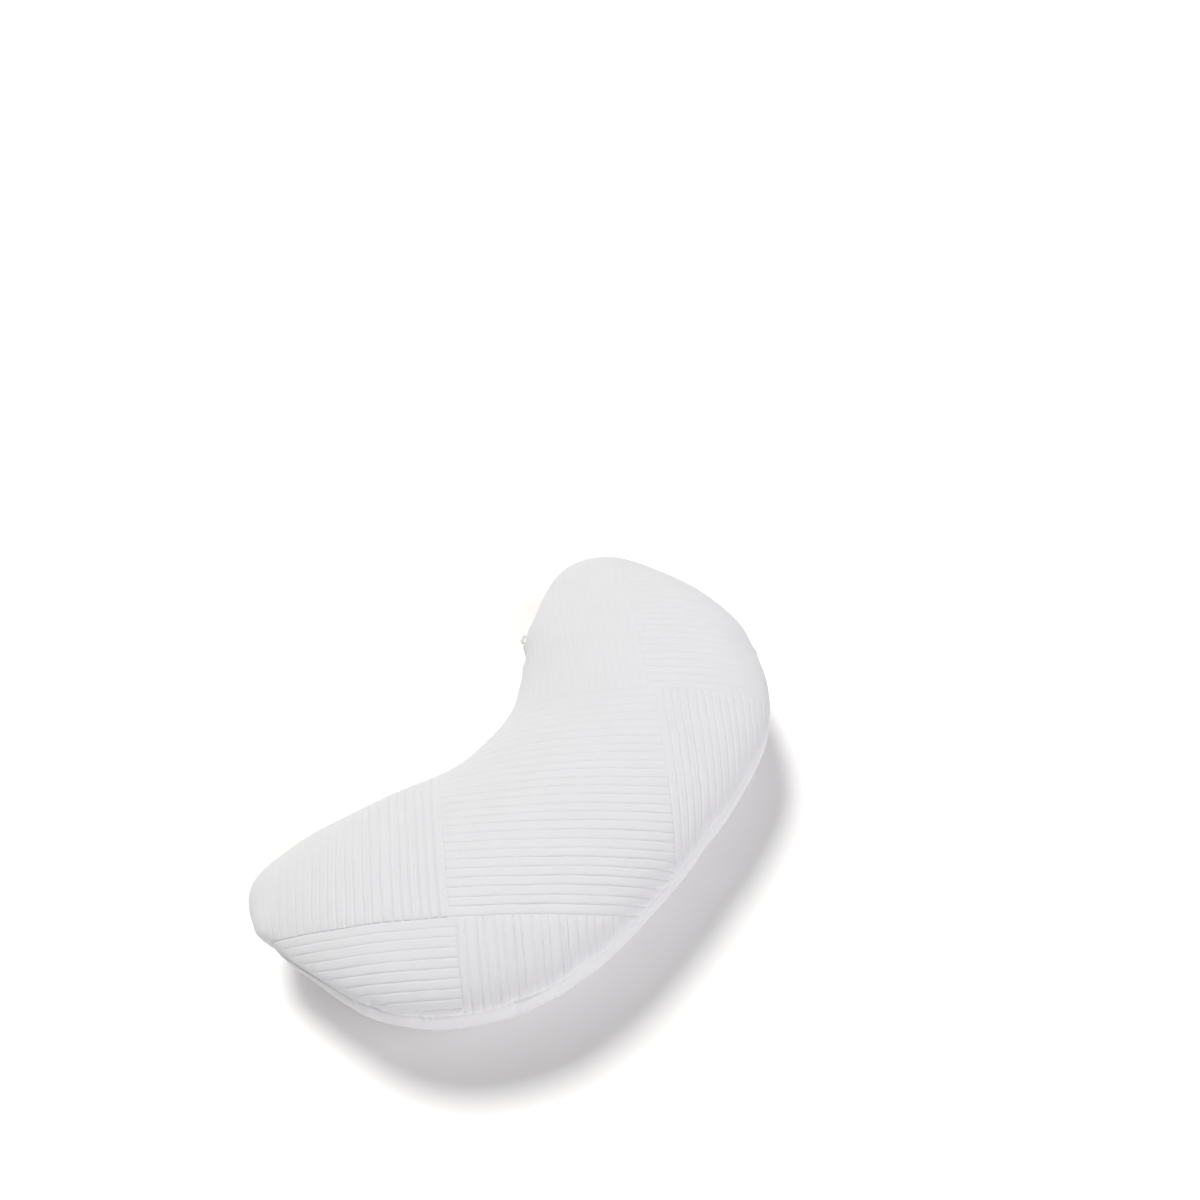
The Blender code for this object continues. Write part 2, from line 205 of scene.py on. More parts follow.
form = makeStuffedForm()
print("stuffed form made,", len(form.data.vertices), "points")

# cut of the cover
coverCut = {
    # middle line of the crescent, from the blunt arm to the wide arm
    "middleLine": ((-0.235, 0.078), (-0.130, -0.014), (0.0, -0.047), (0.130, -0.012), (0.235, 0.085)),
    "seamHeight": 0.076,
    "seamLift": (0.009, 0.120, 0.020),  # higher round the outer side: by how much, and from where to where in Y
    "sideSpokes": 160,
    "endSpokes": 60,
    "spokePoints": 70,
    "underApart": 1.5,  # how far the under panel lies from the top panel on the cloth's UV map
}


def middleLine(count):
    # a smooth line through the middle line's points, with its direction
    points = np.array(coverCut["middleLine"])
    length = np.concatenate([[0], np.cumsum(np.linalg.norm(np.diff(points, axis=0), axis=1))])
    share = length / length[-1]
    at = np.linspace(0, 1, count)
    line = np.stack([np.polyval(np.polyfit(share, points[:, axis], 4), at) for axis in (0, 1)], -1)
    ahead = np.gradient(line, axis=0)
    return line, ahead / np.linalg.norm(ahead, axis=1, keepdims=True)


def spokeFeet():
    # spokes go out from the middle line on both sides, and fan round its two ends
    line, ahead = middleLine(coverCut["sideSpokes"])
    outer = np.stack([ahead[:, 1], -ahead[:, 0]], -1)
    turns = np.linspace(0, math.pi, coverCut["endSpokes"] + 2)[1:-1]
    fans = []
    for end in (-1, 0):
        side = 1 if end == -1 else -1
        fan = side * (np.cos(turns)[:, None] * outer[end] + np.sin(turns)[:, None] * ahead[end])
        fans.append((np.repeat(line[end][None], len(turns), 0), fan))
    feet = np.concatenate([line, fans[0][0], line[::-1], fans[1][0]])
    spokes = np.concatenate([outer, fans[0][1], -outer[::-1], fans[1][1]])
    return feet, spokes


def seamTilt(start, end):
    # how far above level the seam is seen from the middle line
    lift, none, full = coverCut["seamLift"]
    share = min(max((none - end.y) / (none - full), 0.0), 1.0)
    return math.atan2(lift * share * share * (3 - 2 * share), (end - start).length)


def panelGrid(form, side, feet, spokes):
    # rays from the middle line out to the stuffed form: side 1 is the top panel, -1 the under panel
    tree = BVHTree.FromObject(form, bpy.context.evaluated_depsgraph_get())
    shares = np.linspace(0, 1, coverCut["spokePoints"])
    points = np.empty((len(feet), len(shares), 3))
    for i, (foot, spoke) in enumerate(zip(feet, spokes)):
        start = Vector((foot[0], foot[1], coverCut["seamHeight"]))
        tilt = seamTilt(start, tree.ray_cast(start, Vector((spoke[0], spoke[1], 0.0)))[0])
        for j, share in enumerate(shares):
            angle = tilt + (side * math.pi / 2 - tilt) * share
            flat = math.cos(angle)
            points[i, j] = tree.ray_cast(start, Vector((spoke[0] * flat, spoke[1] * flat, math.sin(angle))))[0]
    step = np.linalg.norm(np.diff(points, axis=1), axis=-1)
    fromCrest = np.concatenate([np.cumsum(step[:, ::-1], axis=1)[:, ::-1], np.zeros((len(feet), 1))], 1)
    return points, fromCrest


def layFlat(points, fromCrest, spokes):
    # the middle line keeps its length on the cloth, and each spoke its own
    count = coverCut["sideSpokes"]
    crest = points[:count, -1]
    step = np.diff(crest, axis=0)
    seen = step[:, :2]
    flat = seen * (np.linalg.norm(step, axis=1) / np.linalg.norm(seen, axis=1))[:, None]
    laid = np.concatenate([[[0.0, 0.0]], np.cumsum(flat, axis=0)])
    half = count // 2
    laid += crest[half, :2] - laid[half]
    fan = coverCut["endSpokes"]
    feet = np.concatenate([laid, np.repeat(laid[-1:], fan, 0), laid[::-1], np.repeat(laid[:1], fan, 0)])
    return feet[:, None] + fromCrest[..., None] * spokes[:, None]


# ribs
ribPattern = {
    "ribsInBlock": 26,
    "levelPitch": 0.0104,
    "uprightPitch": 0.0099,
    "levelAngle": 42.5,  # the way across the level ribs, in degrees from +X
    "uprightAngle": -43.0,
    "topCorner": (-0.121, -0.190),  # lowest corner of the middle block on each panel
    "underCorner": (-0.060, -0.140),
    "rowShift": 0.007,
    "levelRise": 0.0008,
    "uprightRise": 0.0012,
    "crownRound": 0.22,  # share of a rib's crown that is round all the way across, not only at its grooves
    "midLevel": 0.7,  # the level of the relief that stays on the stuffed form's surface
    "halfGroove": 0.45,  # the fine line along the middle of some upright ribs, as a share of the rise
    "halfGrooveWidth": 0.07,
    "halfGrooveShare": 1.2,
    # how full the ribs of each block of the top panel are: row, place, then at its low left, high left,
    # low right and high right corners; flat where the cloth is pulled tight
    "blockFullness": (
        (0, 0, 1.40, 0.22, 1.38, 0.50),
        (0, -1, 0.10, -0.20, 1.60, 0.80),
        (1, -1, 1.25, 0.85, 1.35, 1.00),
        (1, 0, 1.00, 1.35, 0.80, 0.90),
        (0, 1, 0.78, 1.20, 0.00, 0.00),
        (-1, 1, 0.85, 0.55, -0.30, -0.30),
        (-1, 0, 0.25, 0.20, 0.30, 0.25),
    ),
    "otherBlocks": 0.80,
    "climb": 1.6,  # how late the fullness changes on the way up a block
    "leastFull": 0.04,
    "ribsDiffer": 0.8,  # how far neighbouring ribs differ in fullness
    "patchy": 0.38,  # how unevenly full a rib is along its length
    "patchyWhereFlat": 3.0,  # how much more unevenly so where the ribs are flat
    "patchSize": (0.026, 0.010),  # along and across the ribs
    "levelGroove": 0.13,  # half the groove's width, as a share of the pitch
    "uprightGroove": 0.19,
    "blockEnd": 0.0016,  # half the width of the groove between two blocks
    "blockGroove": 0.17,  # how far that groove goes below the ribs' own, as a share of the rise
    "fadingUp": (-0.14, 0.05, 0.28),  # it fades between these places up the level ribs' way, to this share
    "flatLevel": 0.75,  # where cloth without ribs lies between the grooves and the crowns
    "borderStep": 0.0016,
    "wander": 0.0007,
    "wanderLength": 0.045,
    "crinkle": 0.00035,
    "crinkleLength": 0.012,
    "levelUneven": 0.05,  # how far a groove strays, as a share of the pitch
    "uprightUneven": 0.15,
    "alongStep": 0.0080,
    "levelPlaces": (0.0, 0.06, 0.14, 0.3, 0.5, 0.7, 0.86, 0.94),
    "uprightPlaces": (0.0, 0.07, 0.17, 0.32, 0.43, 0.5, 0.57, 0.68, 0.83, 0.93),
}


def clothToRibs():
    angles = [math.radians(ribPattern[name]) for name in ("uprightAngle", "levelAngle")]
    return np.array([[math.cos(angle), math.sin(angle)] for angle in angles])


def unevenness(groove, block):
    # a fixed stray for each groove of each block, from -1 to 1
    value = np.sin(groove * 12.9898 + block * 78.233) * 43758.5453
    return 2 * (value - np.floor(value)) - 1


def wanderOf(points):
    # slow sideways drift of the knit, and a finer crinkle
    total = np.zeros((len(points), 2))
    for size, length in (("wander", "wanderLength"), ("crinkle", "crinkleLength")):
        scale = 1 / ribPattern[length]
        drift = [noise.noise_vector(Vector((x * scale, y * scale, 3.7)))[:2] for x, y in points]
        total += np.array(drift) * ribPattern[size]
    return total


def strayIn(block, uneven):
    # the first and last groove of a block stay on its edge
    def stray(groove):
        inside = (groove > 0.5) & (groove < ribPattern["ribsInBlock"] - 0.5)
        return np.where(inside, unevenness(groove, block) * uneven, 0.0)

    return stray


def fullnessOf(row, place, fromLeft, fromLow, along, across):
    # how full the ribs are: by block, and in soft patches along each rib
    look = ribPattern
    share = fromLeft * fromLeft * (3 - 2 * fromLeft)
    climb = fromLow ** look["climb"]
    full = np.full(len(row), look["otherBlocks"])
    for blockRow, blockPlace, lowLeft, highLeft, lowRight, highRight in look["blockFullness"]:
        left = lowLeft + (highLeft - lowLeft) * climb
        right = lowRight + (highRight - lowRight) * climb
        full = np.where((row == blockRow) & (place == blockPlace), left + (right - left) * share, full)
    long, wide = look["patchSize"]
    patches = [noise.noise(Vector((u / long, v / wide, 8.1))) for u, v in zip(along, across)]
    uneven = look["patchy"] * (1 + look["patchyWhereFlat"] * (1 - full.clip(0, 1)))
    return full.clip(look["leastFull"]) * (1 + uneven * np.array(patches)).clip(0)


def ribRelief(measures, corner):
    # how far the ribs stand out, from measures across the upright and the level ribs
    look = ribPattern
    wide = look["ribsInBlock"] * look["uprightPitch"]
    tall = look["ribsInBlock"] * look["levelPitch"]
    row = -np.floor((measures[:, 1] - corner[1]) / tall)
    fromLow = measures[:, 1] - corner[1] + row * tall
    place = np.floor((measures[:, 0] - corner[0] - row * look["rowShift"]) / wide)
    fromLeft = measures[:, 0] - corner[0] - row * look["rowShift"] - place * wide
    level = (row + place) % 2 == 0
    across = np.where(level, fromLow / look["levelPitch"], fromLeft / look["uprightPitch"])
    along = np.where(level, fromLeft, fromLow)
    uneven = np.where(level, look["levelUneven"], look["uprightUneven"])
    block = row * 7 + place
    stray = strayIn(block, uneven)
    groove = np.floor(across)
    groove = np.where(across < groove + stray(groove), groove - 1, groove)
    groove = np.where(across > groove + 1 + stray(groove + 1), groove + 1, groove)
    start = groove + stray(groove)
    finish = groove + 1 + stray(groove + 1)
    share = ((across - start) / (finish - start)).clip(0, 1)
    edge = np.minimum(share, 1 - share) / np.where(level, look["levelGroove"], look["uprightGroove"])
    rounded = look["crownRound"]
    crown = (1 - rounded) * np.sin(math.pi / 2 * edge.clip(0, 1)) + rounded * np.sin(math.pi * share)
    halved = (look["halfGrooveShare"] * unevenness(groove + 0.25, block)).clip(0, 1)
    halved *= np.where(level, 0, look["halfGroove"])
    crown -= halved * np.exp(-(((share - 0.5) / look["halfGrooveWidth"]) ** 2))
    fullness = 1 - look["ribsDiffer"] * uneven * (1 + unevenness(groove + 0.5, block))
    along = np.where(level, 1, -1) * along
    acrossAll = np.where(level, measures[:, 1], measures[:, 0])
    fullness *= fullnessOf(row, place, fromLeft / wide, fromLow / tall, along, acrossAll)
    shape = look["flatLevel"] + fullness * (crown - look["flatLevel"])
    sides = np.minimum(np.minimum(fromLeft, wide - fromLeft), np.minimum(fromLow, tall - fromLow))
    inside = np.sqrt(np.sin(math.pi / 2 * (sides / look["blockEnd"]).clip(0, 1)))
    low, high, left = look["fadingUp"]
    drawn = 1 - (1 - left) * ((measures[:, 1] - low) / (high - low)).clip(0, 1)
    drawn = look["flatLevel"] - drawn * (look["flatLevel"] + look["blockGroove"])
    shape = shape * inside + drawn * (1 - inside)
    return np.where(level, look["levelRise"], look["uprightRise"]) * (shape - look["midLevel"])


def blockPoints(row, place, corner):
    # points of one block's ribs and of its lower and left border, in the same measures
    look = ribPattern
    wide = look["ribsInBlock"] * look["uprightPitch"]
    tall = look["ribsInBlock"] * look["levelPitch"]
    low = corner[1] - row * tall
    left = corner[0] + row * look["rowShift"] + place * wide
    level = (row + place) % 2 == 0
    pitch, length = (look["levelPitch"], wide) if level else (look["uprightPitch"], tall)
    stray = strayIn(row * 7 + place, look["levelUneven"] if level else look["uprightUneven"])
    groove = np.arange(look["ribsInBlock"])
    start = (groove + stray(groove))[:, None]
    finish = (groove + 1 + stray(groove + 1))[:, None]
    places = np.array(look["levelPlaces"] if level else look["uprightPlaces"])
    across = (start + (finish - start) * places).ravel()[1:] * pitch
    end = look["blockEnd"]
    steps = int(round((length - 2 * end) / look["alongStep"]))
    inner = np.linspace(end, length - end, steps + 1)
    along = np.concatenate([[0.35 * end], inner, [length - 0.35 * end]])
    chain = np.full(len(across), -1)
    chain[:3], chain[-3:] = (0, 1, 2), (3, 4, 5)  # rows beside the border, kept as edges of the mesh
    chain = np.repeat(chain, len(along))
    across, along = np.meshgrid(across, along, indexing="ij")
    fromLeft, fromLow = (along.ravel(), across.ravel()) if level else (across.ravel(), along.ravel())
    lowBorder = np.linspace(0, wide, int(wide / look["borderStep"]), endpoint=False)
    leftBorder = np.linspace(0, tall, int(tall / look["borderStep"]), endpoint=False)[1:]
    fromLeft = np.concatenate([fromLeft, lowBorder, np.zeros(len(leftBorder))])
    fromLow = np.concatenate([fromLow, np.zeros(len(lowBorder)), leftBorder])
    chain = np.concatenate([chain, np.full(len(lowBorder), 6), np.full(len(leftBorder), 7)])
    return np.stack([left + fromLeft, low + fromLow], -1), chain


def patternPoints(corner):
    blocks = [blockPoints(row, place, corner) for row in range(-2, 4) for place in range(-3, 4)]
    chains = [np.where(chain < 0, -1, chain + 8 * number) for number, (_, chain) in enumerate(blocks)]
    return np.concatenate([points for points, _ in blocks]), np.concatenate(chains)


def chainEdges(chain, kept, first):
    # edges between neighbours of a row, where both are on the panel; kept holds their old numbers
    same = (np.diff(kept) == 1) & (chain[kept[1:]] == chain[kept[:-1]]) & (chain[kept[1:]] >= 0)
    begin = np.nonzero(same)[0]
    return [(first + n, first + n + 1) for n in begin.tolist()]


# seam
seamFinish = {
    "spacing": 0.0014,  # between points along the seam
    "rings": (0.0, 0.0011, 0.0023, 0.0036, 0.0050, 0.0064, 0.0078),
    "margin": 0.0090,
    "valley": 0.0015,
    "valleyWidth": 0.0016,
    # where the seam is drawn in deeper: x, y, depth and half width along it
    "creases": (
        (-0.3375, 0.0450, 0.0030, 0.040),
        (-0.3242, -0.0339, 0.0032, 0.009),
        (-0.2810, -0.1000, 0.0016, 0.007),
        (-0.2120, -0.1556, 0.0030, 0.013),
        (-0.1400, -0.1790, -0.0007, 0.050),
        (-0.0300, -0.1910, 0.0012, 0.020),
    ),
    # the turned edge inside the cover shows as a second fine line under the seam, on these stretches
    "turnedEdge": (0.0058, 0.0010, 0.0013),  # how far from the seam, how deep, half width
    "turnedStretches": ((-0.3300, 0.0100, 0.060), (-0.0300, -0.1900, 0.060)),
    "lip": 0.0014,  # how far the top panel swells out above the seam
    "lipReach": 0.0085,
    "puckerLength": 0.0057,
    "puckerDepth": 0.00042,
    "puckerReach": 0.0055,
    # what keeps the puckers from being regular: size, length along the seam and shift of each wave
    "puckerSway": ((1.9, 0.031, 0.0), (1.1, 0.0127, 2.0)),
    "puckerAmount": 0.45,
    "puckerSwell": ((0.3, 0.117, 1.0), (0.25, 0.0431, 4.0)),
    "gatherPuckers": (1.2, 2.5),  # how much stronger the puckers are at a gather, and how much wider than it
    "ribsStart": 0.002,  # the ribs rise over this width beside the seam
    "smoothUnder": 0.036,  # the ribs of the under panel fade towards the seam over this width
    "leftUnder": 0.05,  # and leave this share of them at the seam
    "restFade": (0.001, 0.012),  # ribs are flat up to this height over the floor, and full this much higher
    "lowest": 0.0002,
    # where the seam is gathered: x, y, depth and half width along the seam
    "gathers": (
        (-0.3354, 0.0977, 0.0024, 0.006),
        (-0.3182, -0.0382, 0.0016, 0.008),
        (-0.2967, -0.0791, 0.0014, 0.007),
        (-0.2199, -0.1472, 0.0018, 0.005),
        (-0.0110, -0.1874, 0.0014, 0.006),
        (0.3065, -0.0810, -0.0022, 0.009),
        (0.1470, 0.1550, -0.0012, 0.006),
        (0.1395, 0.1452, -0.0034, 0.0045),
        (0.1240, 0.1345, 0.0022, 0.005),
        (0.1090, 0.1245, -0.0014, 0.006),
        (0.0920, 0.1156, 0.0012, 0.006),
    ),
    "gatherReach": 0.016,
}


def apartFrom(place, along, length):
    # how far along the closed seam from a place, the short way round
    return (along - place + length / 2) % length - length / 2


def seamRelief(along, inset, seam, side):
    # the valley of the seam, the swell above it, its fine puckers, and the deeper gathers
    look = seamFinish
    length = seam["length"]
    valley = np.full(len(along), look["valley"])
    for place, depth, width in seam["creases"]:
        valley += depth * np.exp(-((apartFrom(place, along, length) / width) ** 2))
    relief = -valley * np.exp(-((inset / look["valleyWidth"]) ** 2))
    if side < 0:
        away, depth, width = look["turnedEdge"]
        stretches = seam["turnedStretches"]
        shown = sum(np.exp(-((apartFrom(place, along, length) / reach) ** 2)) for place, reach in stretches)
        relief -= depth * shown * np.exp(-(((inset - away) / width) ** 2))
    if side > 0:
        relief += look["lip"] * inset / look["lipReach"] * np.exp(1 - inset / look["lipReach"])
    turn = 2 * math.pi * along
    phase = turn / look["puckerLength"]
    for size, wave, shift in look["puckerSway"]:
        phase = phase + size * np.sin(turn / wave + shift)
    amount = np.full(len(along), look["puckerAmount"])
    for size, wave, shift in look["puckerSwell"]:
        amount += size * np.sin(turn / wave + shift)
    stronger, wider = look["gatherPuckers"]
    for place, depth, width in seam["gathers"]:
        apart = apartFrom(place, along, length)
        bump = np.exp(-((apart / width) ** 2))
        relief -= depth * bump * np.exp(-inset / look["gatherReach"])
        amount += stronger * np.exp(-((apart / (wider * width)) ** 2))
    return relief + look["puckerDepth"] * amount * np.sin(phase) * np.exp(-inset / look["puckerReach"])


# cover
def flatTree(flat):
    # the flat panel as triangles, to find where on the spokes a point of the cloth lies
    rows, columns = flat.shape[:2]
    corners = [Vector((x, y, 0.0)) for x, y in flat.reshape(-1, 2)]
    triangles = []
    for i in range(rows):
        for j in range(columns - 1):
            a, b = i * columns + j, (i + 1) % rows * columns + j
            triangles += [(a, b, b + 1), (a, b + 1, a + 1)]
    return BVHTree.FromPolygons(corners, triangles), np.array(triangles)


def readGrid(flat, fields, tree, triangles, points):
    # each field at points of the cloth, and which points lie on the panel
    found = np.full(len(points), -1)
    down = Vector((0.0, 0.0, -1.0))
    for number, (x, y) in enumerate(points):
        face = tree.ray_cast(Vector((x, y, 1.0)), down)[2]
        if face is not None:
            found[number] = face
    on = found >= 0
    corners = triangles[found[on]]
    a, b, c = (flat.reshape(-1, 2)[corners[:, k]] for k in range(3))
    first, second, third = b - a, c - a, points[on] - a
    area = first[:, 0] * second[:, 1] - first[:, 1] * second[:, 0]
    u = (third[:, 0] * second[:, 1] - third[:, 1] * second[:, 0]) / area
    v = (first[:, 0] * third[:, 1] - first[:, 1] * third[:, 0]) / area
    shares = np.stack([1 - u - v, u, v], -1)[..., None]
    return on, [(field.reshape(len(flat) * len(flat[0]), -1)[corners] * shares).sum(1) for field in fields]


def seamMeasure(points):
    # length along the seam to each spoke, and the whole length
    seam = np.concatenate([points[:, 0], points[:1, 0]])
    length = np.concatenate([[0], np.cumsum(np.linalg.norm(np.diff(seam, axis=0), axis=1))])
    return length[:-1], length[-1]


def seamRing(flat, points, fromCrest, places, inset):
    # cloth places and points a little way in from the seam
    first = np.floor(places).astype(int) % len(flat)
    second = (first + 1) % len(flat)
    share = (places - np.floor(places))[:, None]

    def inward(spoke):
        reach = fromCrest[spoke, 0] - inset
        rows = np.concatenate([flat[spoke], points[spoke]], -1)
        return np.array([
            [np.interp(-want, -track, row[:, k]) for k in range(5)]
            for want, track, row in zip(reach, fromCrest[spoke], rows)
        ])

    mixed = inward(first) * (1 - share) + inward(second) * share
    return mixed[:, :2], mixed[:, 2:]


def layPanel(form, side, feet, spokes, seam):
    points, fromCrest = panelGrid(form, side, feet, spokes)
    flat = layFlat(points, fromCrest, spokes)
    tree, triangles = flatTree(flat)
    corner = ribPattern["topCorner"] if side > 0 else ribPattern["underCorner"]
    toRibs = clothToRibs()
    pattern, chain = patternPoints(corner)
    pattern = pattern @ np.linalg.inv(toRibs).T
    drift = wanderOf(pattern)
    turn = 2 * math.pi * seam["atSpoke"] / seam["length"]
    wayRound = np.broadcast_to(np.stack([np.cos(turn), np.sin(turn)], -1)[:, None], flat.shape)
    toSeam = fromCrest[:, :1] - fromCrest
    on, (lifted, away, turned) = readGrid(flat, [points, toSeam, wayRound], tree, triangles, pattern + drift)
    keep = away[:, 0] > seamFinish["margin"]
    kept = np.nonzero(on)[0][keep]
    cloth = [(pattern + drift)[on][keep]]
    solid = [lifted[keep]]
    relief = [ribRelief(pattern[on][keep] @ toRibs.T, corner)]
    inset = [away[keep, 0]]
    along = [(np.arctan2(turned[keep, 1], turned[keep, 0]) % (2 * math.pi)) / (2 * math.pi) * seam["length"]]
    for ring in reversed(seamFinish["rings"]):
        ringCloth, ringPoints = seamRing(flat, points, fromCrest, seam["places"], ring)
        cloth.insert(0, ringCloth)
        solid.insert(0, ringPoints)
        relief.insert(0, ribRelief((ringCloth - wanderOf(ringCloth)) @ toRibs.T, corner))
        inset.insert(0, np.full(len(ringCloth), ring))
        along.insert(0, seam["along"])
    cloth, solid, relief, inset, along = (np.concatenate(part) for part in (cloth, solid, relief, inset, along))
    if side < 0:
        fade, left = (inset / seamFinish["smoothUnder"]).clip(0, 1), seamFinish["leftUnder"]
        relief *= left + (1 - left) * fade * fade
    flatUpTo, fullAfter = seamFinish["restFade"]
    relief *= ((solid[:, 2] - flatUpTo) / fullAfter).clip(0, 1)
    relief = relief * (inset / seamFinish["ribsStart"]).clip(0, 1) + seamRelief(along, inset, seam, side)
    count = len(seam["places"])
    edges = [(i, (i + 1) % count) for i in range(count)]
    edges += chainEdges(chain, kept, count * len(seamFinish["rings"]))
    laid = delaunay_2d_cdt([Vector(point) for point in cloth], edges, [list(range(count))], 1, 1e-8)
    order = [source[0] for source in laid[3]]
    faces = [[order[corner] for corner in face] for face in laid[2]]
    return {"cloth": cloth, "points": solid, "relief": relief, "faces": faces}


def seamLine(points):
    # the seam's evenly spaced points, and its gathers and creases as places along it
    atSpoke, length = seamMeasure(points)
    count = int(length / seamFinish["spacing"])
    along = np.arange(count) * length / count
    places = np.interp(along, np.append(atSpoke, length), np.arange(len(atSpoke) + 1))
    seam = {"atSpoke": atSpoke, "length": length, "along": along, "places": places}
    for kind in ("gathers", "creases", "turnedStretches"):
        seam[kind] = []
        for x, y, *rest in seamFinish[kind]:
            nearest = np.hypot(points[:, 0, 0] - x, points[:, 0, 1] - y).argmin()
            seam[kind].append((atSpoke[nearest], *rest))
    return seam


def sewCover(form):
    feet, spokes = spokeFeet()
    seam = seamLine(panelGrid(form, 1, feet, spokes)[0])
    count = len(seam["places"])
    top = layPanel(form, 1, feet, spokes, seam)
    print("top panel laid,", len(top["points"]), "points")
    under = layPanel(form, -1, feet, spokes, seam)
    print("under panel laid,", len(under["points"]), "points")
    points = np.concatenate([top["points"], under["points"][count:]])
    shift = len(top["points"]) - count
    faces = list(top["faces"])
    faces += [[n if n < count else n + shift for n in face][::-1] for face in under["faces"]]
    mesh = bpy.data.meshes.new("pillowCover")
    mesh.from_pydata(points.tolist(), [], faces)
    cover = bpy.data.objects.new("pillowCover", mesh)
    bpy.context.scene.collection.objects.link(cover)
    makeActive(cover)
    bpy.ops.object.mode_set(mode="EDIT")
    bpy.ops.mesh.select_all(action="SELECT")
    bpy.ops.mesh.normals_make_consistent(inside=False)
    bpy.ops.object.mode_set(mode="OBJECT")
    relief = np.concatenate([top["relief"], under["relief"][count:]])
    raised = meshPoints(mesh) + meshNormals(mesh) * relief[:, None]
    raised[:, 2] = raised[:, 2].clip(seamFinish["lowest"])
    setMeshPoints(mesh, raised)
    mapCloth(mesh, np.concatenate([top["cloth"], under["cloth"][count:] + [0.0, coverCut["underApart"]]]))
    mesh.shade_smooth()
    return cover


def mapCloth(mesh, cloth):
    # the cloth's own flat measures, in metres, for the knit
    layer = mesh.uv_layers.new(name="cloth")
    corners = np.empty(len(mesh.loops), np.int32)
    mesh.loops.foreach_get("vertex_index", corners)
    layer.data.foreach_set("uv", cloth[corners].astype(np.float32).ravel())


cover = sewCover(form)
bpy.data.objects.remove(form, do_unlink=True)
print("cover sewn,", len(cover.data.vertices), "points,", len(cover.data.polygons), "triangles")

# nodes of the materials
def addNode(material, kind, settings=None, **inputs):
    # a node with its settings, its plain inputs and its links
    node = material.node_tree.nodes.new("ShaderNode" + kind)
    for name, value in (settings or {}).items():
        setattr(node, name, value)
    for name, value in inputs.items():
        socket = node.inputs[int(name[2:])] if name.startswith("in") else node.inputs[name]
        if isinstance(value, bpy.types.NodeSocket):
            material.node_tree.links.new(value, socket)
        else:
            socket.default_value = value
    return node


def mathNode(material, operation, *values):
    inputs = {"in" + str(number): value for number, value in enumerate(values)}
    return addNode(material, "Math", {"operation": operation}, **inputs).outputs[0]


# zip pull
zipPull = {
    "shift": 0.0020,  # along the seam, from the middle of the solid's slider
    "slider": (0.0128, 0.0048, 0.0058),  # along the seam, out from it, up
    "rearTaper": 0.62,
    "proud": 0.0012,  # how far its middle stands out from the seam
    "tab": (0.0092, 0.0118, 0.0030),  # long, wide, thick
    "rim": 0.0013,  # round the raised middle of the slider's front
    "raised": 0.0009,
    "raisedShare": (0.8, 0.7),  # how much of its width and height the raised middle keeps
    "mouth": (0.0009, 0.0006),  # rim and depth of the opening where the chain goes in
    "tabWaist": 0.55,  # where the tab starts to narrow, as a share of its length
    "tabPoint": 0.13,
    "tabThin": 0.8,
    "tabRim": 0.0010,
    "tabHollow": 0.62,  # thickness inside the tab's rim, as a share
    "tabSunk": 0.0004,  # how far the tab starts inside the slider
    "tabDroop": 1.0,  # degrees below level
    "bevel": 0.0005,
    "bevelSteps": 3,
    "bevelAngle": 0.6,
    "smoothAngle": 0.7,
}


def zipPlace():
    # the seam's point at the CAD slider, and the level way out of the cloth there
    low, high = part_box("zip_slider")
    slider = (Vector(low) + Vector(high)) / 2
    low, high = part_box("zip_tab")
    out = (Vector(low) + Vector(high)) / 2 - slider
    out.z = 0.0
    out.normalize()
    slider += Vector((out.y, -out.x, 0.0)) * zipPull["shift"]
    seam = coverSurface.ray_cast(slider + out * 0.05, -out)[0]
    return seam, out


def selectFaces(mesh, wanted):
    # picks faces of a piece in edit mode by a test on their middle and normal
    shape = bmesh.from_edit_mesh(mesh)
    for part in (shape.verts, shape.edges, shape.faces):
        for item in part:
            item.select_set(False)
    for face in shape.faces:
        if wanted(face.calc_center_median(), face.normal):
            face.select_set(True)
    bmesh.update_edit_mesh(mesh)


def startBlock(name, size):
    bpy.ops.object.select_all(action="DESELECT")
    bpy.ops.mesh.primitive_cube_add(size=1.0, location=(0.0, 0.0, 0.0))
    block = bpy.context.object
    block.name = block.data.name = name
    block.scale = size
    bpy.ops.object.transform_apply(location=False, rotation=False, scale=True)
    bpy.ops.object.mode_set(mode="EDIT")
    return block


def finishBlock(block, place, turn, material):
    bpy.ops.object.mode_set(mode="OBJECT")
    look = zipPull
    bevel = {"width": look["bevel"], "segments": look["bevelSteps"], "angle_limit": look["bevelAngle"]}
    applyModifier(block, "BEVEL", limit_method="ANGLE", **bevel)
    makeActive(block)
    block.location, block.rotation_euler = place, turn
    bpy.ops.object.transform_apply(location=True, rotation=True, scale=True)
    bpy.ops.object.shade_smooth_by_angle(angle=look["smoothAngle"])
    block.data.materials.append(material)


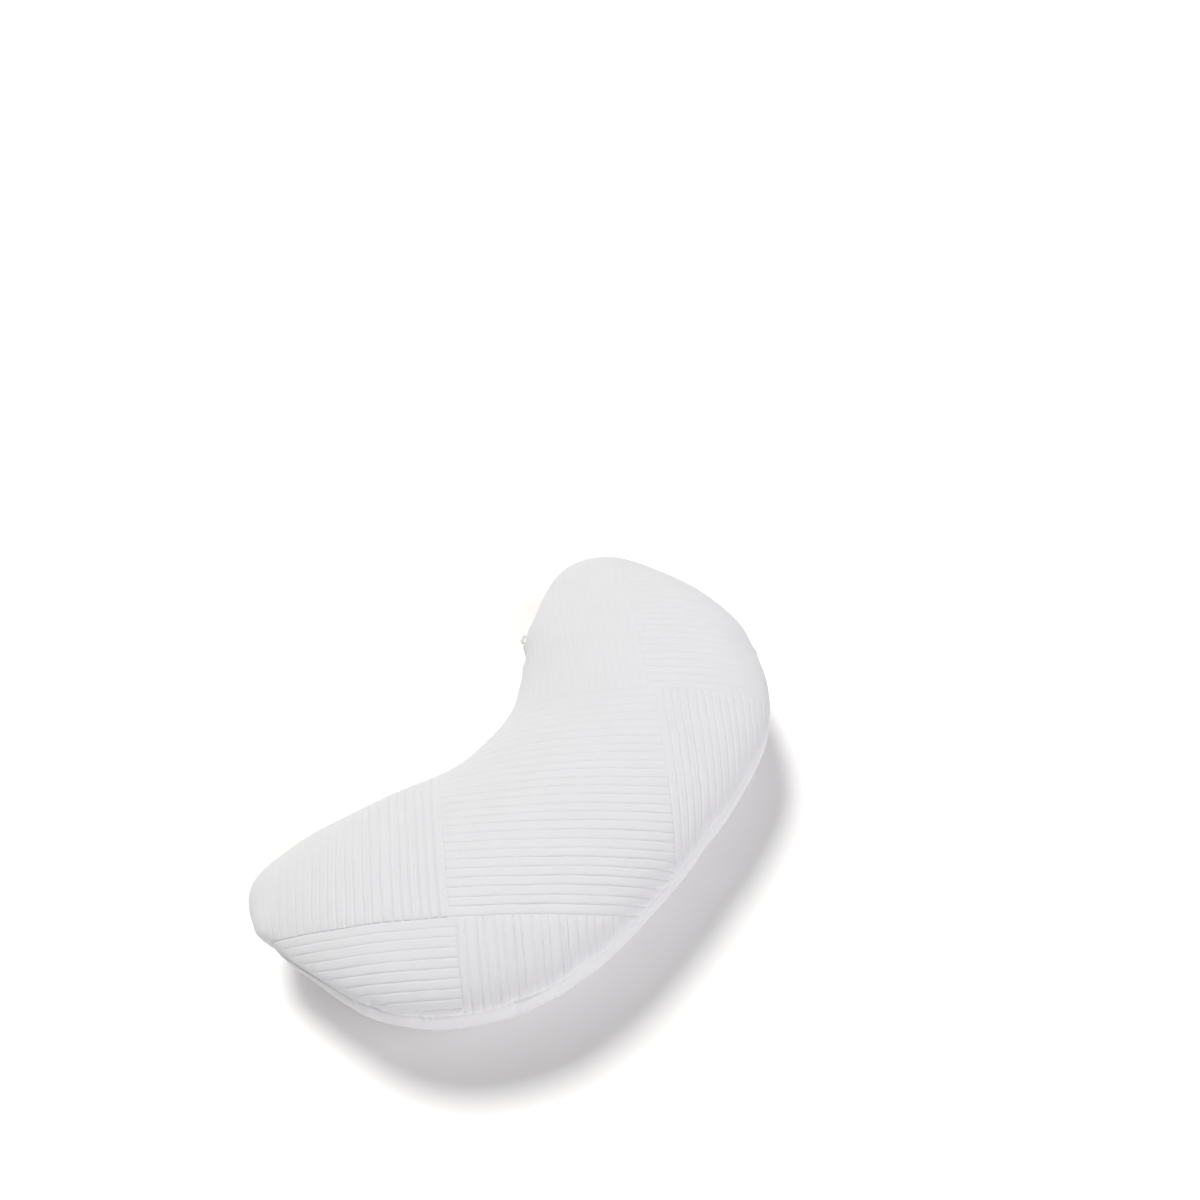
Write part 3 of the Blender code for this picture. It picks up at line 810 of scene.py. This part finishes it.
def makeSlider(seam, out, material):
    look = zipPull
    long, deep = look["slider"][:2]
    slider = startBlock("zipSlider", look["slider"])
    mesh = slider.data
    taper = look["rearTaper"]
    selectFaces(mesh, lambda middle, normal: normal.x < -0.9)
    bpy.ops.transform.resize(value=(1.0, taper, taper), center_override=(-long / 2, 0.0, 0.0))
    selectFaces(mesh, lambda middle, normal: normal.y > 0.7)
    bpy.ops.mesh.inset(thickness=look["rim"])
    bpy.ops.mesh.extrude_region_move(TRANSFORM_OT_translate={"value": (0.0, look["raised"], 0.0)})
    keptWidth, keptHeight = look["raisedShare"]
    bpy.ops.transform.resize(value=(keptWidth, 1.0, keptHeight), center_override=(0.0, deep / 2, 0.0))
    rim, depth = look["mouth"]
    selectFaces(mesh, lambda middle, normal: normal.x > 0.9)
    bpy.ops.mesh.inset(thickness=rim)
    bpy.ops.mesh.extrude_region_move(TRANSFORM_OT_translate={"value": (-depth, 0.0, 0.0)})
    turn = (0.0, 0.0, math.atan2(out.y, out.x) - math.pi / 2)
    finishBlock(slider, seam + out * look["proud"], turn, material)
    return slider


def makeTab(seam, out, material):
    look = zipPull
    long = look["tab"][0]
    tab = startBlock("zipTab", look["tab"])
    mesh = tab.data
    bpy.ops.mesh.select_all(action="SELECT")
    bpy.ops.transform.translate(value=(long / 2, 0.0, 0.0))
    bpy.ops.mesh.bisect(plane_co=(look["tabWaist"] * long, 0.0, 0.0), plane_no=(1.0, 0.0, 0.0))
    selectFaces(mesh, lambda middle, normal: normal.x > 0.9)
    bpy.ops.transform.resize(value=(1.0, look["tabPoint"], look["tabThin"]), center_override=(long, 0.0, 0.0))
    selectFaces(mesh, lambda middle, normal: abs(normal.z) > 0.9 and middle.x < 0.6 * long)
    bpy.ops.mesh.inset(thickness=look["tabRim"], use_individual=True)
    bpy.ops.transform.resize(value=(1.0, 1.0, look["tabHollow"]), center_override=(0.0, 0.0, 0.0))
    turn = Vector((out.x, out.y, -math.tan(math.radians(look["tabDroop"])))).to_track_quat("X", "Z").to_euler()
    start = seam + out * (look["proud"] + look["slider"][1] / 2 - look["tabSunk"])
    finishBlock(tab, start, turn, material)
    return tab


zipCoat = {
    "dark": (0.60, 0.60, 0.59, 1.0),
    "pale": (0.66, 0.66, 0.65, 1.0),
    "grainScale": 900.0,
    "roughness": 0.38,
    "gloss": 0.2,
    "bump": 0.15,
    "bumpDepth": 0.0001,
}


def coatedMetal():
    look = zipCoat
    material = bpy.data.materials.new("coatedZip")
    material.use_nodes = True
    shader, links = material.node_tree.nodes["Principled BSDF"], material.node_tree.links
    shader.inputs["Roughness"].default_value = look["roughness"]
    shader.inputs["Coat Weight"].default_value = look["gloss"]
    place = addNode(material, "TexCoord").outputs["Object"]
    grain = addNode(material, "TexNoise", Vector=place, Scale=look["grainScale"]).outputs["Fac"]
    tint = addNode(material, "Mix", {"data_type": "RGBA"}, Factor=grain, A=look["dark"], B=look["pale"])
    bump = addNode(material, "Bump", Strength=look["bump"], Distance=look["bumpDepth"], Height=grain)
    links.new(tint.outputs["Result"], shader.inputs["Base Color"])
    links.new(bump.outputs["Normal"], shader.inputs["Normal"])
    return material


coverSurface = BVHTree.FromObject(cover, bpy.context.evaluated_depsgraph_get())
zipSeam, zipOut = zipPlace()
zipMetal = coatedMetal()
for makePart, node in ((makeSlider, "zip_slider"), (makeTab, "zip_tab")):
    zipPart = makePart(zipSeam, zipOut, zipMetal)
    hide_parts(node)
    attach(zipPart, "root")
print("zip pull made")

# knit
knitLook = {
    "raised": (0.667, 0.663, 0.680, 1.0),  # colour of the loops' crowns
    "sunken": (0.628, 0.624, 0.643, 1.0),  # and between the loops: a darker colour that paints the shade in the hollows there
    "mottle": 0.03,  # slow change of tone over the cloth
    "mottleScale": 22.0,
    "roughness": 0.95,
    "sheen": 0.05,
    "sheenRoughness": 0.6,
    "specular": 0.2,
    "loop": (0.0011, 0.0015, 1.0),  # across a column of loops, along it
    "loopTurn": -43.0,
    "bump": 0.35,
    "bumpDepth": 0.00022,
    "fuzz": 0.5,  # height of the fuzz, as a share of the loops'
    "fuzzScale": 1500.0,
}


def knitLoops(material):
    # height of the knitted loops: columns of small V shapes on the cloth's own measures
    look = knitLook
    cloth = addNode(material, "UVMap", {"uv_map": "cloth"})
    turn = (0.0, 0.0, math.radians(look["loopTurn"]))
    loops = addNode(material, "Mapping", {"vector_type": "TEXTURE"}, Vector=cloth.outputs["UV"], Rotation=turn,
                    Scale=look["loop"])
    split = addNode(material, "SeparateXYZ", Vector=loops.outputs["Vector"])
    slant = mathNode(material, "PINGPONG", split.outputs["X"], 0.5)
    row = mathNode(material, "PINGPONG", mathNode(material, "ADD", split.outputs["Y"], slant), 0.5)
    leg = mathNode(material, "PINGPONG", split.outputs["X"], 0.25)
    # 8 brings the crown of a loop to 1
    ridge = mathNode(material, "MULTIPLY", mathNode(material, "MULTIPLY", row, leg), 8.0)
    return mathNode(material, "POWER", ridge, 0.6)


def knitMaterial():
    look = knitLook
    material = bpy.data.materials.new("whiteKnit")
    material.use_nodes = True
    shader, links = material.node_tree.nodes["Principled BSDF"], material.node_tree.links
    shader.inputs["Roughness"].default_value = look["roughness"]
    shader.inputs["Sheen Weight"].default_value = look["sheen"]
    shader.inputs["Sheen Roughness"].default_value = look["sheenRoughness"]
    shader.inputs["Specular IOR Level"].default_value = look["specular"]
    loops = knitLoops(material)
    place = addNode(material, "TexCoord").outputs["Object"]
    # the colour goes from the crowns' colour to a darker one between the loops: painted shade in the knit's
    # hollows
    tone = addNode(material, "Mix", {"data_type": "RGBA"}, Factor=loops, A=look["sunken"], B=look["raised"])
    slow = addNode(material, "TexNoise", Vector=place, Scale=look["mottleScale"], Detail=3.0)
    light = mathNode(material, "MULTIPLY_ADD", slow.outputs["Fac"], look["mottle"], 1.0 - look["mottle"] / 2)
    shade = addNode(material, "VectorMath", {"operation": "SCALE"}, Vector=tone.outputs["Result"], Scale=light)
    fuzz = addNode(material, "TexNoise", Vector=place, Scale=look["fuzzScale"], Detail=2.0)
    height = mathNode(material, "MULTIPLY_ADD", fuzz.outputs["Fac"], look["fuzz"], loops)
    bump = addNode(material, "Bump", Strength=look["bump"], Distance=look["bumpDepth"], Height=height)
    links.new(shade.outputs["Vector"], shader.inputs["Base Color"])
    links.new(bump.outputs["Normal"], shader.inputs["Normal"])
    return material


cover.data.materials.append(knitMaterial())
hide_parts("pillow")
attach(cover, "root")
print("knit finished")

# studio
studio = {
    "floorSize": 16.0,
    "floorColour": (0.955, 0.949, 0.941, 1.0),
    "backdrop": (0.92, 0.92, 0.92, 1.0),
    # suns: where from (degrees round from +X, degrees up), strength, softness in degrees, colour
    "keyLight": (71.0, 50.6, 3.27, 24.0, (1.0, 0.998, 0.974)),
    "frontLight": (208.0, 19.0, 0.74, 80.0, (1.0, 0.984, 0.940)),
    "sideLight": (268.0, 25.0, 2.48, 80.0, (0.975, 0.965, 1.0)),
    "backLight": (75.0, 20.0, 0.30, 80.0, (1.0, 0.99, 0.97)),
    "sunAway": 3.0,  # only where a sun is drawn in the viewport
}


def addSun(name, around, up, strength, softness, colour):
    around, up = math.radians(around), math.radians(up)
    back = Vector((math.cos(around) * math.cos(up), math.sin(around) * math.cos(up), math.sin(up)))
    turn = back.to_track_quat("Z", "Y").to_euler()
    bpy.ops.object.light_add(type="SUN", location=back * studio["sunAway"], rotation=turn)
    sun = bpy.context.object
    sun.name = name
    sun.data.energy = strength
    sun.data.angle = math.radians(softness)
    sun.data.color = colour


def makeStudio():
    look = studio
    bpy.ops.mesh.primitive_plane_add(size=look["floorSize"], location=(0.0, 0.0, 0.0))
    floor = bpy.context.object
    floor.name = "studioFloor"
    paint = bpy.data.materials.new("studioFloor")
    paint.use_nodes = True
    shader = paint.node_tree.nodes["Principled BSDF"]
    shader.inputs["Base Color"].default_value = look["floorColour"]
    shader.inputs["Roughness"].default_value = 1.0
    shader.inputs["Specular IOR Level"].default_value = 0.0
    floor.data.materials.append(paint)
    # a pale backdrop beyond the floor; the light itself comes from the suns
    world = bpy.data.worlds.new("studio")
    world.use_nodes = True
    backdrop = world.node_tree.nodes["Background"]
    backdrop.inputs["Color"].default_value = look["backdrop"]
    seen = world.node_tree.nodes.new("ShaderNodeLightPath")
    world.node_tree.links.new(seen.outputs["Is Camera Ray"], backdrop.inputs["Strength"])
    bpy.context.scene.world = world
    for name in ("keyLight", "frontLight", "sideLight", "backLight"):
        addSun(name, *look[name])
    bpy.context.scene.view_settings.view_transform = "Standard"


makeStudio()
print("studio lit")
